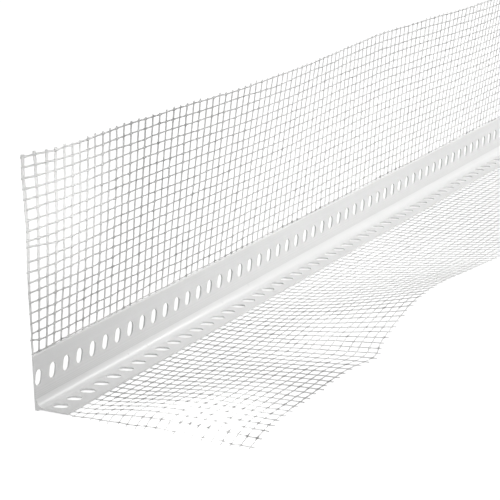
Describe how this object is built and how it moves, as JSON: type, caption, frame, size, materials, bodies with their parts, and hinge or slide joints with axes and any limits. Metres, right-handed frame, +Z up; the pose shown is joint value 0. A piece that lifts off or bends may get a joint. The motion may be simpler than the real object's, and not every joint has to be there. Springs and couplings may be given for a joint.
{
  "type": "drip corner bead",
  "caption": "Perforated plastic angle bead with a drip edge and a woven glass-fibre mesh wing on each leg, for rendered corners.",
  "frame": {"origin": "bottom centre of the whole bead, on the surface that it lies on", "axes": "+Y along the bead from the near cut end to the far one, +X across the lower leg away from the drip edge, +Z up along the upright leg"},
  "size_m": [0.104, 2, 0.1095],
  "materials": {
    "white_plastic": "smooth extruded, low sheen",
    "glass_mesh": "coated woven yarn"
  },
  "bodies": {
    "root": {"profile": "white_plastic", "upper_mesh": "glass_mesh", "lower_mesh": "glass_mesh"}
  },
  "joints": []
}
